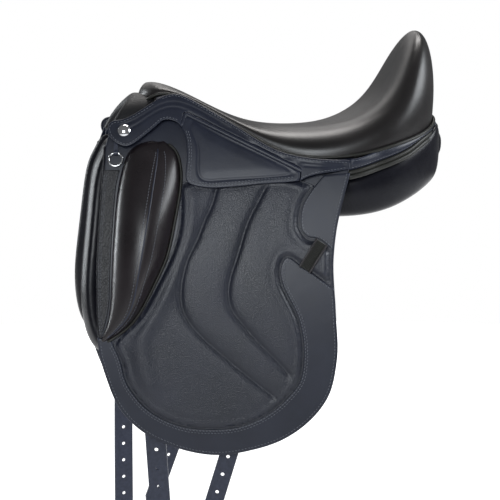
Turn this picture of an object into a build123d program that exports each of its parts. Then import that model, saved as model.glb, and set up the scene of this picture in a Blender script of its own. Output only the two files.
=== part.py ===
"""English dressage saddle, monoflap, in millimetres.

Frame: +Z up, +X from pommel to cantle, so the horse faces -X. The near (left) side is at -Y.
The origin is on the centre plane, below the deepest part of the seat, between the two flaps.

Most of one side is leather that lies in layers on one curved sheet. That sheet is described once,
in a frame turned by FLAP_YAW: p runs to the rear, q runs up and n runs outward. Each layer is its
flat outline, cut out of the sheet's curve at that layer's height. The right side mirrors the left.
"""

from build123d import *
from math import atan2, cos, radians, sin
import os

# ------------------------------------------------------------------ driving dimensions
FLAP_YAW = 10.0          # the flaps open to the rear by this angle
FLAP_CURVE = [           # (q, n): the middle of the flap leather, from the seat down to the strap ends
    (232, 68), (165, 104), (100, 128), (0, 152), (-120, 168), (-250, 176), (-330, 177), (-460, 177),
]
GAP = 0.3                # clearance between soft pieces that do not share a face

FLAP_LAYER = (-2.0, 2.0)
FACING_LAYER = (2.0, 4.4)
PAD_LAYER = (2.0, 9.0)
SKIRT_LAYER = (9.4, 13.4)
BLOCK_FOOT = 2.3
BLOCK_HEIGHT = 42.0
FRONT_BILLET_LAYER = (-8.2, -4.6)
REAR_BILLET_LAYER = (-12.4, -8.8)
WEB_LAYER = (-14.2, -12.8)
POINT_LAYER = (-11.5, -7.5)
WING_LAYER = (-42.0, -14.8)

BILLET_TOP = 98.0
BILLET_TIP = -430.0
FRONT_BILLET = {"p": -155.0, "width": 27.0}
REAR_BILLET = {"p": 72.0, "width": 24.0}
FRONT_SLANT = {"left": 4.0, "right": 0.0}      # how each strap hangs, in degrees from plumb
REAR_SLANT = {"left": -17.0, "right": -21.0}
HOLE_RADIUS = 2.5
HOLE_PITCH = 25.0
HOLE_COUNT = 8
FIRST_HOLE = -226.0      # height of the top hole

FOLD_FRONT = (-85.0, 190.0)   # the line that flap and skirt fold about, in p and q
FOLD_REAR = (62.0, 120.0)
FOLD_CLEARANCE = 3.6
CUT_GAP = 1.5            # half the gap between the fixed head of a flap and its moving part
FLAP_CUT = [(-230.0, 115.0), (140.0, 86.0)]   # below this line the flap moves

GULLET_HALF = 32.0
SEAT_SKIN = 3.0
TREE_THICKNESS = 7.0
STUD_AT = (-177.0, 167.0)
STUD_RADIUS = 8.3
STUD_HEIGHT = 12.4
RING_AT = (-188.0, 134.0)
RING_RADIUS = 9.2
RING_WIRE = 1.4

# x, rim half width, rim height, crest half width, crest height, height at the centre
SEAT_STATIONS = [
    (-160, 30, 207, 18, 219, 221),
    (-148, 38, 215, 24, 231, 234),
    (-134, 43, 223, 26, 234, 236),
    (-100, 50, 218, 30, 223, 226),
    (-61, 66, 196, 42, 202, 205),
    (-23, 88, 172, 58, 183, 188),
    (16, 108, 149, 78, 172, 179),
    (60, 124, 139, 92, 170, 178),
    (106, 134, 141, 104, 176, 181),
    (142, 132, 149, 108, 194, 190),
    (170, 124, 157, 104, 213, 203),
    (194, 110, 164, 94, 245, 225),
    (213, 94, 171, 79, 276, 253),
    (230, 74, 179, 54, 301, 287),
    (244, 50, 186, 30, 309, 312),
    (255, 26, 194, 14, 292, 297),
]
# x, side half width, side height, height at the centre
TREE_STATIONS = [
    (-140, 38, 178, 202),
    (-100, 44, 172, 200),
    (-61, 54, 158, 184),
    (-23, 72, 144, 166),
    (30, 92, 124, 152),
    (85, 106, 118, 153),
    (126, 110, 120, 158),
    (167, 102, 133, 174),
    (196, 88, 144, 192),
    (221, 50, 156, 214),
    (233, 34, 164, 220),
]
# x, outer half width, outer bottom, outer top, inner bottom, inner top
PANEL_STATIONS = [
    (-176, 62, 116, 142, 126, 146),
    (-165, 72, 100, 148, 112, 156),
    (-110, 84, 80, 140, 96, 152),
    (-40, 98, 66, 118, 84, 134),
    (40, 116, 57, 102, 76, 120),
    (110, 126, 56, 106, 72, 122),
    (162, 122, 64, 118, 78, 132),
    (205, 104, 82, 140, 92, 150),
    (233, 82, 100, 150, 106, 150),
    (248, 60, 120, 153, 122, 152),
]
# x, half width, side height, height at the centre
LINING_STATIONS = [
    (-140, 30.5, 144, 166), (-40, 30.5, 124, 142), (40, 30.5, 110, 130), (110, 30.5, 110, 132),
    (160, 30.5, 120, 142), (224, 30.5, 146, 166),
]

# ------------------------------------------------------------------ the side's own frame
AXIS_P = Vector(cos(radians(FLAP_YAW)), -sin(radians(FLAP_YAW)), 0)
AXIS_N = Vector(-sin(radians(FLAP_YAW)), -cos(radians(FLAP_YAW)), 0)
AXIS_Q = Vector(0, 0, 1)
SIDE = Plane(origin=(0, 0, 0), x_dir=AXIS_P, z_dir=AXIS_N)        # x is p, y is q
PROFILE = Plane(origin=(0, 0, 0), x_dir=AXIS_N, z_dir=-AXIS_P)    # x is n, y is q
REACH = 320.0


def at(p, q, n):
    """A point of the side's frame, in the saddle's frame."""
    return AXIS_P * p + AXIS_Q * q + AXIS_N * n


def sheet_n(q):
    """How far out the middle of the flap leather is at height q."""
    points = sorted(FLAP_CURVE)
    for (q0, n0), (q1, n1) in zip(points, points[1:]):
        if q0 <= q <= q1:
            return n0 + (n1 - n0) * (q - q0) / (q1 - q0)
    return points[0][1] if q < points[0][0] else points[-1][1]


def layer(low, high):
    """The curved sheet between two heights above the flap's middle, as one long solid."""
    inner = [(n + low, q) for q, n in FLAP_CURVE]
    outer = [(n + high, q) for q, n in FLAP_CURVE]
    edges = PROFILE * (
        Spline(*outer) + Line(outer[-1], inner[-1]) + Spline(*reversed(inner)) + Line(inner[0], outer[0])
    )
    return extrude(make_face(edges), amount=REACH, both=True)


def crowned_layer(foot, bulge):
    """A layer on the sheet whose outer face bulges: bulge lists (q, height above the middle)."""
    inner = [(n + foot, q) for q, n in FLAP_CURVE if -260 < q < 240]
    top, bottom = inner[0], inner[-1]
    outer = [(sheet_n(q) + height, q) for q, height in bulge]
    edges = PROFILE * (
        Spline(*outer) + Line(outer[-1], bottom) + Spline(*reversed(inner)) + Line(top, outer[0])
    )
    return extrude(make_face(edges), amount=REACH, both=True)


def prism(outline):
    """Everything outward of the centre plane inside a flat outline of the side."""
    return extrude(SIDE * make_face(outline), amount=REACH)


def closed_spline(points):
    return Spline(*points, periodic=True)


def closed_lines(points):
    return Polyline(*points, close=True)


def below(line, lift=0.0):
    """The half of the side below a line of two points, moved up by lift."""
    (p0, q0), (p1, q1) = line
    slope = (q1 - q0) / (p1 - p0)
    left, right = -REACH, REACH
    points = [
        (left, q0 + slope * (left - p0) + lift), (right, q0 + slope * (right - p0) + lift),
        (right, -2 * REACH), (left, -2 * REACH),
    ]
    return prism(closed_lines(points))


def only_solid(shape):
    """The largest solid of a result, so that each leather piece is one solid."""
    return max(shape.solids(), key=lambda s: s.volume)


# ------------------------------------------------------------------ outlines of one side, in p and q
FLAP_EDGE = [
    (-204, 113), (-209, 40), (-211, -50), (-209, -106), (-197, -153), (-175, -199), (-119, -240), (-46, -255),
    (31, -237), (84, -197), (107, -143), (109, -80), (104, -10), (107, 35), (117, 83), (126, 118),
]
HEAD_TOP = [
    (124, 128), (107, 129), (80, 131), (52, 134), (21, 144), (-26, 172), (-62, 192), (-102, 213), (-134, 208),
    (-160, 194), (-181, 185), (-198, 170),
]
PAD_EDGE = [
    (-201, -112), (-186, -134), (-159, -177), (-119, -209), (-59, -221), (5, -208), (48, -174), (65, -134),
    (61, -83), (43, -42), (35, -14), (48, 8), (62, 20), (59, 58), (70, 88), (66, 96), (-94, 96), (-104, 45),
    (-118, 0), (-137, -38), (-158, -74), (-184, -102),
]
PAD_TONGUE = [(40, 22), (101, 8), (101, -28), (40, -16)]
BLOCK_EDGE = [
    (-164, 146), (-148, 154), (-131, 157), (-114, 148), (-104, 128), (-102, 96), (-110, 45), (-122, 0),
    (-141, -38), (-163, -74), (-186, -97), (-202, -99), (-200, -40), (-198, 20), (-193, 74), (-176, 122),
]
KEEPER = [(80, 31), (94, 23), (73, -13), (59, -5)]
LOWER_BAND_TOP = [(-230, -104), (-200, -111), (55, -3), (73, -12), (90, -24), (125, -52)]
UPPER_BAND = [(64, 33), (84, 31), (93, 25), (103, 18), (107, 35), (116, 80), (118, 84), (72, 86), (60, 62)]
FINGER_EDGE = [
    (-193, 186), (-199, 180), (-196, 166), (-184, 154), (-171, 152), (-152, 164), (-134, 181), (-120, 187),
    (-106, 184),
]
BAND_TOP = [
    (124, 134), (107, 134), (80, 136), (52, 140), (21, 150), (-26, 178), (-62, 199), (-89, 214), (-113, 221),
    (-134, 214), (-160, 197),
]
SKIRT_EDGE = [(-100, 178), (-95, 166), (-92, 147), (-92, 118), (-90, 106), (-80, 101), (-46, 98), (19, 103),
              (50, 106), (60, 110)]
WING_EDGE = [
    (-208, 158), (-224, 118), (-231, 50), (-236, -30), (-231, -78), (-218, -112), (-198, -126), (-150, -112),
    (-80, -88), (0, -62), (60, -20), (72, 30), (60, 72), (-60, 92), (-150, 128), (-185, 158),
]


# ------------------------------------------------------------------ sections across the saddle
ARCH_POWER = 2.3
ARCH_SHARES = [-1, -0.93, -0.75, -0.5, -0.25, 0, 0.25, 0.5, 0.75, 0.93, 1]


def arch(half, side, centre):
    """Points (y, z) of an arch from side to side."""
    return [
        (half * t, side + (centre - side) * (1 - abs(t) ** ARCH_POWER) ** (1 / ARCH_POWER)) for t in ARCH_SHARES
    ]


def arched_solid(stations, inset, drop, end_inset=0.0):
    """A loft of arches with straight side walls that go down by drop to a flat underside."""
    faces = []
    last = len(stations) - 1
    for i, (x, half, side, centre) in enumerate(stations):
        if i == 0:
            x += end_inset
        if i == last:
            x -= end_inset
        faces.append(across(x, arch(half - inset, side, centre - inset), side - drop))
    return loft(faces)


def across(x, upper, low):
    """A face across the saddle at x, from a row of (y, z) points down to the height low."""
    place = Plane(origin=(x, 0, 0), x_dir=(0, 1, 0), z_dir=(1, 0, 0))
    edges = Spline(*upper) + Polyline(upper[-1], (upper[-1][0], low), (upper[0][0], low), upper[0])
    return place * make_face(edges)


def seat_body(inset, drop):
    """The seat's solid, taken in by inset all over, with its walls going down by drop."""
    faces = []
    last = len(SEAT_STATIONS) - 1
    for i, (x, half, rim, crest_y, crest_z, middle) in enumerate(SEAT_STATIONS):
        if i == 0:
            x += inset
        if i == last:
            x -= inset
        half -= inset
        crest_z -= inset
        middle -= inset
        side = [
            (half, rim), (half * 1.02, rim + 0.35 * (crest_z - rim)),
            (crest_y + 0.6 * (half - crest_y), rim + 0.84 * (crest_z - rim)), (crest_y, crest_z),
            (crest_y * 0.5, middle + 0.3 * (crest_z - middle)), (0, middle),
        ]
        upper = side + [(-y, z) for y, z in reversed(side[:-1])]
        faces.append(across(x, upper, rim - drop))
    return loft(faces)


def make_tree():
    """The moulded shell that carries the seat, with its long opening under the webs."""
    shell = arched_solid(TREE_STATIONS, 0, 1) - arched_solid(TREE_STATIONS, TREE_THICKNESS, 60, -1)
    return only_solid(shell - tree_opening(0))


def tree_opening(inset):
    return Pos(30, 0, 150) * Box(170 - 2 * inset, 60 - 2 * inset, 160)


def make_seat_web():
    """The webbing that fills the opening of the tree."""
    band = arched_solid(TREE_STATIONS, 2, 1) - arched_solid(TREE_STATIONS, 4, 60, -1)
    return only_solid(band & tree_opening(0.3))


def make_lining():
    """The leather ceiling of the channel between the two cushions."""
    return only_solid(arched_solid(LINING_STATIONS, 0, 1) - arched_solid(LINING_STATIONS, 2.5, 60, -1))


def make_head_plate():
    """The steel arch that joins the two points over the withers."""
    return sweep_round([
        (-192, -58, 165), (-180, -50, 186), (-168, -28, 199), (-163, 0, 203), (-168, 28, 199), (-180, 50, 186),
        (-192, 58, 165)], 5.5)


def make_pommel_facing(head_plate):
    """The leather that closes the front of the pommel, from point to point."""
    outer = [(-56, 168), (-50, 190), (-32, 206), (0, 213), (32, 206), (50, 190), (56, 168)]
    inner = [(-44, 164), (-36, 178), (-20, 188), (0, 192), (20, 188), (36, 178), (44, 164)]
    edges = Spline(*outer) + Line(outer[-1], inner[-1]) + Spline(*reversed(inner)) + Line(inner[0], outer[0])
    place = Plane(origin=(-171, 0, 0), x_dir=(0, 1, 0), z_dir=(1, 0, 0))
    return extrude(place * make_face(edges), amount=10.5) - head_plate


def make_rear_piping():
    """The thick piping between the seat and the cushions, round the back."""
    half = [(105, 118, 115), (148, 120, 124), (184, 106, 138), (212, 86, 151), (234, 54, 161), (245, 24, 168)]
    points = [(x, -y, z) for x, y, z in half] + [(248, 0, 170)] + [(x, y, z) for x, y, z in reversed(half)]
    return sweep_round(points, 3.2)


def make_welt():
    """The piping along the whole rim of the seat."""
    half = [(x, half + 2.8, rim) for x, half, rim, *_ in SEAT_STATIONS[1:-1]]
    points = [(x, -y, z) for x, y, z in half] + [(258, 0, 196)] + [(x, y, z) for x, y, z in reversed(half)]
    return sweep_round(points, 2.2)


def make_panel():
    """One bearing cushion, from the head to behind the seat, clear of the gullet."""
    faces = []
    for x, outer, outer_low, outer_high, inner_low, inner_high in PANEL_STATIONS:
        place = Plane(origin=(x, 0, 0), x_dir=(0, -1, 0), z_dir=(-1, 0, 0))
        middle = (GULLET_HALF + outer) / 2
        round_off = (outer - GULLET_HALF) * 0.16
        points = [
            (GULLET_HALF, (inner_low + inner_high) / 2),
            (GULLET_HALF + round_off, inner_low + 3),
            (middle, (inner_low + outer_low) / 2 - 3),
            (outer - round_off, outer_low + 1),
            (outer, (outer_low * 2 + outer_high) / 3),
            (outer - round_off, outer_high - 1),
            (middle, (inner_high + outer_high) / 2 + 1),
            (GULLET_HALF + round_off, inner_high - 2),
        ]
        faces.append(place * make_face(closed_spline(points)))
    return only_solid(loft(faces))


# ------------------------------------------------------------------ pieces of one side
def billet(place, slant, layer_heights):
    """A girth strap: a long strip with a pointed tip and a row of punched holes."""
    length = BILLET_TOP - BILLET_TIP
    half = place["width"] / 2
    tip = 16.0
    outline = closed_lines([
        (-half, 4), (-half + 4, 8), (half - 4, 8), (half, 4),
        (half, tip - length), (half * 0.35, -length), (-half * 0.35, -length), (-half, tip - length),
    ])
    strip = outline.rotate(Axis.Z, slant).translate((place["p"], BILLET_TOP - 6, 0))
    strap = prism(strip) & layer(*layer_heights)
    for k in range(HOLE_COUNT):
        drop = (BILLET_TOP - 6 - FIRST_HOLE) + k * HOLE_PITCH
        p = place["p"] + sin(radians(slant)) * drop
        q = BILLET_TOP - 6 - cos(radians(slant)) * drop
        hole = Plane(origin=at(p, q, 100), z_dir=AXIS_N) * Cylinder(HOLE_RADIUS, 200)
        strap -= hole
    return only_solid(strap)


def stirrup_bar(tree):
    """Forged bar: a plate on the tree, an arm, and the blade that the stirrup leather hangs on."""
    def block(p0, p1, q0, q1, n0, n1):
        box = extrude(SIDE.offset(n0) * Rectangle(p1 - p0, q1 - q0).translate(((p0 + p1) / 2, (q0 + q1) / 2, 0)),
                      amount=n1 - n0)
        return box

    plate = only_solid(block(-90, -28, 150, 166, 66, 87) - tree)
    blade = block(-90, -46, 150, 160, 96, 104) + block(-46, -34, 150, 160, 96, 99.8)
    blade = fillet(blade.edges().filter_by(lambda e: abs(e.tangent_at(0.5).dot(AXIS_P)) > 0.99), 1.5)
    bar = plate + block(-90, -79, 151, 159, 86, 98) + blade
    pin = catch_pin(0.02)
    return only_solid(bar - pin)


CATCH_PIVOT = (-40.0, 155.0)
CATCH_PIN_RADIUS = 1.6


def catch_pin(grow):
    place = Plane(origin=at(*CATCH_PIVOT, 95.4), z_dir=AXIS_N)
    return place * Cylinder(CATCH_PIN_RADIUS + grow, 10.4, align=(Align.CENTER, Align.CENTER, Align.MIN))


def safety_catch():
    """The thumb piece that closes the end of the stirrup bar."""
    p, q = CATCH_PIVOT
    outline = SlotCenterToCenter(18, 8.4).translate((p + 9, q, 0))
    body = extrude(SIDE.offset(100.2) * make_face(outline), amount=3.6)
    return only_solid(body - catch_pin(0.05))


def d_ring():
    centre = at(*RING_AT, sheet_n(RING_AT[1]) + 5.6)
    place = Plane(origin=centre, x_dir=AXIS_P, z_dir=tilted_normal(RING_AT[1]))
    return place * Torus(RING_RADIUS, RING_WIRE)


def tilted_normal(q):
    """The sheet's outward direction at height q."""
    slope = (sheet_n(q + 20) - sheet_n(q - 20)) / 40
    lean = atan2(-slope, 1)
    return AXIS_N * cos(lean) + AXIS_Q * sin(lean)


def ring_hinge():
    """Where the ring's top turns in its loop."""
    up = tilted_normal(RING_AT[1]).cross(AXIS_P)
    centre = at(RING_AT[0], RING_AT[1], sheet_n(RING_AT[1]) + 5.6)
    return centre + up * RING_RADIUS


def d_ring_chape():
    """A small leather loop that goes round the ring's top."""
    centre = ring_hinge()
    place = Plane(origin=centre, x_dir=tilted_normal(RING_AT[1]), z_dir=AXIS_P)
    loop = place * Cylinder(3.4, 5.6)
    tail_q = RING_AT[1] + RING_RADIUS
    tail = prism(closed_lines([
        (RING_AT[0] - 2.8, tail_q + 1.5), (RING_AT[0] + 2.8, tail_q + 1.5),
        (RING_AT[0] + 2.8, tail_q + 18), (RING_AT[0] - 2.8, tail_q + 18),
    ])) & layer(2.2, 5.2)
    return only_solid(loop + tail - layer(*FLAP_LAYER) - place * Cylinder(RING_WIRE + 0.6, 20))


def pommel_stud():
    """A domed nail through the front of the skirt."""
    outward = tilted_normal(STUD_AT[1])
    place = Plane(origin=at(*STUD_AT, sheet_n(STUD_AT[1])) + outward * STUD_HEIGHT, z_dir=outward)
    rim = Cylinder(STUD_RADIUS, 1.4, align=(Align.CENTER, Align.CENTER, Align.MIN))
    dome = Sphere(12) & Pos(0, 0, 8.6) * Cylinder(STUD_RADIUS, 4, align=(Align.CENTER, Align.CENTER, Align.MIN))
    return place * (rim + Pos(0, 0, -7.25) * dome)


def sweep_round(points, radius):
    """A round cord of leather along a smooth line."""
    path = Spline(*points)
    return sweep(Plane(origin=path @ 0, z_dir=path % 0) * Circle(radius), path=path)


def one_side(side, tree, panel, head_plate):
    """Every piece of one side by name, all drawn on the left."""
    fold = [FOLD_FRONT, FOLD_REAR]
    rise = FOLD_CLEARANCE / cos(atan2(FOLD_FRONT[1] - FOLD_REAR[1], FOLD_REAR[0] - FOLD_FRONT[0]))
    leather = layer(*FLAP_LAYER)
    whole_flap = prism(Spline(*FLAP_EDGE) + Polyline(FLAP_EDGE[-1], HEAD_TOP[0])
                       + Spline(*HEAD_TOP) + Line(HEAD_TOP[-1], FLAP_EDGE[0])) & leather
    bar_window = prism(closed_lines([(-96, 143), (-20, 143), (-20, 150), (-60, 170), (-96, 184)]))
    pieces = {}
    pieces["flap"] = only_solid(whole_flap & below(FLAP_CUT, -CUT_GAP))
    pieces["flap_head"] = only_solid(whole_flap - below(FLAP_CUT, CUT_GAP) - bar_window)

    block_foot = prism(closed_spline(BLOCK_EDGE))
    pad_area = prism(closed_lines(PAD_EDGE)) + prism(closed_lines(PAD_TONGUE))
    pad_area = pad_area - block_foot
    pieces["flap_pad"] = only_solid(pad_area & layer(*PAD_LAYER))
    flap_area = prism(Spline(*FLAP_EDGE) + Polyline(FLAP_EDGE[-1], (126, 300), (-240, 300), FLAP_EDGE[0]))
    face_layer = flap_area & layer(*FACING_LAYER)
    lower = prism(closed_lines(LOWER_BAND_TOP + [(140, -300), (-240, -300)]))
    pieces["flap_lower_band"] = only_solid((face_layer & lower) - pad_area - block_foot)
    pieces["flap_upper_band"] = only_solid((face_layer & prism(closed_lines(UPPER_BAND))) - pad_area)
    pieces["keeper_strap"] = only_solid(prism(closed_lines(KEEPER)) & layer(9.2, 12.4))

    crown = crowned_layer(BLOCK_FOOT, [
        (231, 4), (180, 10), (158, 24), (120, 38), (60, BLOCK_HEIGHT), (0, BLOCK_HEIGHT), (-50, 36), (-90, 24),
        (-130, 8), (-249, 4),
    ])
    pieces["thigh_block"] = only_solid(block_foot & crown)

    skirt_leather = layer(*SKIRT_LAYER)
    skirt_area = prism(Spline(*SKIRT_EDGE) + Polyline(SKIRT_EDGE[-1], (70, 240), (-100, 240), SKIRT_EDGE[0]))
    pieces["skirt"] = only_solid((skirt_area & below(fold, -rise)) & skirt_leather)
    band_area = prism(Spline(*FINGER_EDGE) + Polyline(FINGER_EDGE[-1], (-106, 100), (66, 100), (66, 114), (126, 120),
                                                      BAND_TOP[0]) + Spline(*BAND_TOP)
                      + Line(BAND_TOP[-1], FINGER_EDGE[0]))
    under = below(fold, rise) - prism(closed_lines([(-320, -320), (-106.2, -320), (-106.2, 320), (-320, 320)]))
    under = under - prism(closed_lines([(66, -320), (320, -320), (320, 320), (66, 320)]))
    pieces["skirt_band"] = only_solid((band_area - under) & skirt_leather)

    pieces["front_billet"] = billet(FRONT_BILLET, FRONT_SLANT[side], FRONT_BILLET_LAYER)
    pieces["rear_billet"] = billet(REAR_BILLET, REAR_SLANT[side], REAR_BILLET_LAYER)
    pieces["girth_web"] = only_solid(prism(closed_lines([
        (-170, 103), (88, 103), (88, 112), (58, 124), (20, 128), (-75, 128), (-85, 142), (-120, 142), (-140, 124),
        (-170, 124)])) & layer(*WEB_LAYER) - panel)
    pieces["tree_point"] = only_solid(prism(closed_lines([
        (-200, 78), (-196, 70), (-180, 70), (-176, 78), (-174, 176), (-196, 176)])) & layer(*POINT_LAYER) - head_plate)
    pieces["stirrup_bar"] = stirrup_bar(tree)
    pieces["bar_catch"] = safety_catch()
    pieces["catch_pin"] = catch_pin(0.0)
    pieces["d_ring"] = d_ring()
    pieces["d_ring_chape"] = d_ring_chape()
    pieces["pommel_stud"] = pommel_stud()

    wing = prism(closed_spline(WING_EDGE)) & layer(*WING_LAYER)
    pieces["panel_wing"] = only_solid(wing - panel)
    pieces["panel"] = panel

    return pieces


# ------------------------------------------------------------------ the whole saddle
def make_all():
    tree = make_tree()
    panel = only_solid(make_panel() - tree)
    cover = only_solid(seat_body(0, 14) - seat_body(SEAT_SKIN, 60))
    head_plate = only_solid(make_head_plate() - cover)
    rear_piping = only_solid(make_rear_piping() - cover - panel)
    foam = seat_body(SEAT_SKIN + GAP, 12) - arched_solid(TREE_STATIONS, -0.3, 100) - head_plate - rear_piping
    nodes = {"tree_shell": tree, "seat_cover": cover, "head_plate": head_plate, "rear_piping": rear_piping}
    nodes["seat_foam"] = only_solid(foam)
    nodes["seat_web"] = make_seat_web()
    nodes["gullet_lining"] = make_lining()
    nodes["pommel_facing"] = only_solid(make_pommel_facing(head_plate))
    nodes["seat_welt"] = only_solid(make_welt() - cover)
    for name, shape in one_side("left", tree, panel, head_plate).items():
        nodes[name + "_left"] = shape
        nodes[name + "_right"] = mirror(shape, about=Plane.XZ)
    off_side = one_side("right", tree, panel, head_plate)
    for name in ("front_billet", "rear_billet"):
        nodes[name + "_right"] = mirror(off_side[name], about=Plane.XZ)
    return nodes


if __name__ == "__main__":
    os.makedirs("parts", exist_ok=True)
    for node, shape in make_all().items():
        export_step(shape, f"parts/{node}.step")
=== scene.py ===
"""Looks of the dressage saddle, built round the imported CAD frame.

+Z is up, -X the pommel and -Y the near side. Shapes are drawn in mm and made in metres.
"""
from math import cos, pi, radians, sin
import bmesh
import bpy
import numpy as np
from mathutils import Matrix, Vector
from mathutils.geometry import delaunay_2d_cdt


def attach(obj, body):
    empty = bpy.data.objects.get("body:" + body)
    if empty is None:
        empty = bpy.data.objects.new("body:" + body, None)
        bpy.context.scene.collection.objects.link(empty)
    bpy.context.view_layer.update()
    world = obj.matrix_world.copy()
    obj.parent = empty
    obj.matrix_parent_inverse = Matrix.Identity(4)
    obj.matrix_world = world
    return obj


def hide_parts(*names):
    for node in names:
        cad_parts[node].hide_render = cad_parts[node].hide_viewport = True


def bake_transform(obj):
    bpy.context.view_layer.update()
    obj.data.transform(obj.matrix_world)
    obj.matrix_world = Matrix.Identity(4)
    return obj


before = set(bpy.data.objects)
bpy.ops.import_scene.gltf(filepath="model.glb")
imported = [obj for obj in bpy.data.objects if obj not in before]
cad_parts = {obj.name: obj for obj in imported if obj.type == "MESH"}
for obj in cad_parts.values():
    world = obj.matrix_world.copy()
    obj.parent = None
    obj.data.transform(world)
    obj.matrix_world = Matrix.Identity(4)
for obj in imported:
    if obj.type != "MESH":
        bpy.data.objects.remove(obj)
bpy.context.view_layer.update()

MM = 0.001
ROOT = "saddle"
SIDES = {"left": 1.0, "right": -1.0}
MIRROR = np.array([1, -1, 1])

# ------------------------------------------------------------------ the side's curved sheet, as in the CAD
# A side is drawn in p (back along the flap), q (up) and n (out). The middle of the flap's leather lies on
# FLAP_CURVE, (q, n).
FLAP_YAW = radians(10.0)
AXIS_P = np.array([cos(FLAP_YAW), -sin(FLAP_YAW), 0.0])
AXIS_N = np.array([-sin(FLAP_YAW), -cos(FLAP_YAW), 0.0])
AXIS_Q = np.array([0.0, 0.0, 1.0])
FLAP_CURVE = [
    (-460, 177), (-330, 177), (-250, 176), (-120, 168), (0, 152), (100, 128), (165, 104), (232, 68),
]
FOLD_A = (-85.0, 190.0)     # two points of the line that the skirt folds about, (p, q)
FOLD_B = (62.0, 120.0)


def cubic(knots, values, x):
    """Natural cubic spline through (knots, values), at x."""
    t = np.asarray(knots, float)
    y = np.asarray(values, float)
    h = np.diff(t)
    n = len(t)
    a = np.eye(n)
    b = np.zeros((n,) + y.shape[1:])
    for i in range(1, n - 1):
        a[i, i - 1:i + 2] = h[i - 1], 2 * (h[i - 1] + h[i]), h[i]
        b[i] = 6 * ((y[i + 1] - y[i]) / h[i] - (y[i] - y[i - 1]) / h[i - 1])
    m = np.linalg.solve(a, b.reshape(n, -1)).reshape(b.shape)
    k = np.clip(np.searchsorted(t, x, side="right") - 1, 0, n - 2)
    shape = (-1,) + (1,) * (y.ndim - 1)
    d = (x - t[k]).reshape(shape)
    w = h[k].reshape(shape)
    slope = (y[k + 1] - y[k]) / w - w * (2 * m[k] + m[k + 1]) / 6
    return y[k] + d * slope + d * d * m[k] / 2 + d ** 3 * (m[k + 1] - m[k]) / (6 * w)


def curve(points, step=2.0, closed=False, count=None):
    """A smooth line through points, sampled evenly, about step apart or count in all."""
    pts = np.asarray(points, float)
    core = len(pts)
    if closed:
        pts = np.vstack([pts[-4:], pts, pts[:5]])
    knots = np.r_[0, np.cumsum(np.linalg.norm(np.diff(pts, axis=0), axis=1) ** 0.6)]
    lo, hi = (knots[4], knots[4 + core]) if closed else (knots[0], knots[-1])
    fine = cubic(knots, pts, np.linspace(lo, hi, 60 * core))
    return even(fine, step, closed, count)


def even(line, step, closed=False, count=None):
    """A polyline resampled at even spacing; a closed one doesn't repeat its first point."""
    line = np.asarray(line, float)
    length = np.r_[0, np.cumsum(np.linalg.norm(np.diff(line, axis=0), axis=1))]
    n = count or max(int(round(length[-1] / step)) + (0 if closed else 1), 3)
    at = np.linspace(0, length[-1], n, endpoint=not closed)
    return np.stack([np.interp(at, length, line[:, i]) for i in range(line.shape[1])], axis=1)


def loop(*runs, step=2.0):
    """A closed outline from runs of points; each run is smooth, and the runs meet at corners."""
    lines = []
    for run in runs:
        run = np.asarray(run, float)
        lines.append(curve(run, step) if len(run) > 2 else even(run, step))
    lines.append(lines[0][:1])
    return even(np.vstack(lines), step, closed=True)


SHEET_Q = np.linspace(FLAP_CURVE[0][0], FLAP_CURVE[-1][0], 1400)
SHEET_N = cubic(*zip(*FLAP_CURVE), SHEET_Q)


def sheet_n(q):
    """How far out the middle of the flap leather lies at height q."""
    return np.interp(q, SHEET_Q, SHEET_N)


def place(p, q, n):
    """Points of the side's frame (mm) in the saddle's frame (mm)."""
    p, q, n = np.broadcast_arrays(np.asarray(p, float), q, n)
    return p[..., None] * AXIS_P + q[..., None] * AXIS_Q + n[..., None] * AXIS_N


def on_sheet(pq, height):
    """Points (p, q) at a height above the middle of the flap leather."""
    pq = np.asarray(pq, float)
    return place(pq[:, 0], pq[:, 1], sheet_n(pq[:, 1]) + height)


def out_of_sheet(q):
    """The sheet's outward direction at height q."""
    slope = (sheet_n(q + 4) - sheet_n(q - 4)) / 8
    lean = np.arctan(-slope)
    return np.cos(lean)[..., None] * AXIS_N + np.sin(lean)[..., None] * AXIS_Q


def smooth(x, lo, hi):
    t = np.clip((x - lo) / (hi - lo), 0, 1)
    return t * t * (3 - 2 * t)


def bell(d, width):
    return np.exp(-(d / width) ** 2)


def distance(points, line, closed=False):
    """Distance from each point to a polyline."""
    points = np.asarray(points, float)
    a = np.asarray(line, float)
    b = np.roll(a, -1, axis=0) if closed else a[1:]
    a = a if closed else a[:-1]
    best = np.full(len(points), 1e9)
    ab = b - a
    length2 = np.maximum((ab ** 2).sum(1), 1e-9)
    for lo in range(0, len(points), 4000):
        chunk = points[lo:lo + 4000]
        ap = chunk[:, None, :] - a[None]
        t = np.clip((ap * ab).sum(2) / length2, 0, 1)
        best[lo:lo + 4000] = np.sqrt((((ap - t[..., None] * ab) ** 2).sum(2)).min(1))
    return best


def inside(points, outline):
    """True for each point inside a closed polyline."""
    points = np.asarray(points, float)
    a = np.asarray(outline, float)
    b = np.roll(a, -1, axis=0)
    px, py = points[:, :1], points[:, 1:]
    straddle = (a[:, 1] > py) != (b[:, 1] > py)
    with np.errstate(divide="ignore", invalid="ignore"):
        cross = px < (b[:, 0] - a[:, 0]) * (py - a[:, 1]) / (b[:, 1] - a[:, 1]) + a[:, 0]
    return (straddle & cross).sum(1) % 2 == 1


# ------------------------------------------------------------------ meshes
def mirrored(points, side):
    points = np.array(points, float)
    points[:, 1] *= side
    return points


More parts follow.
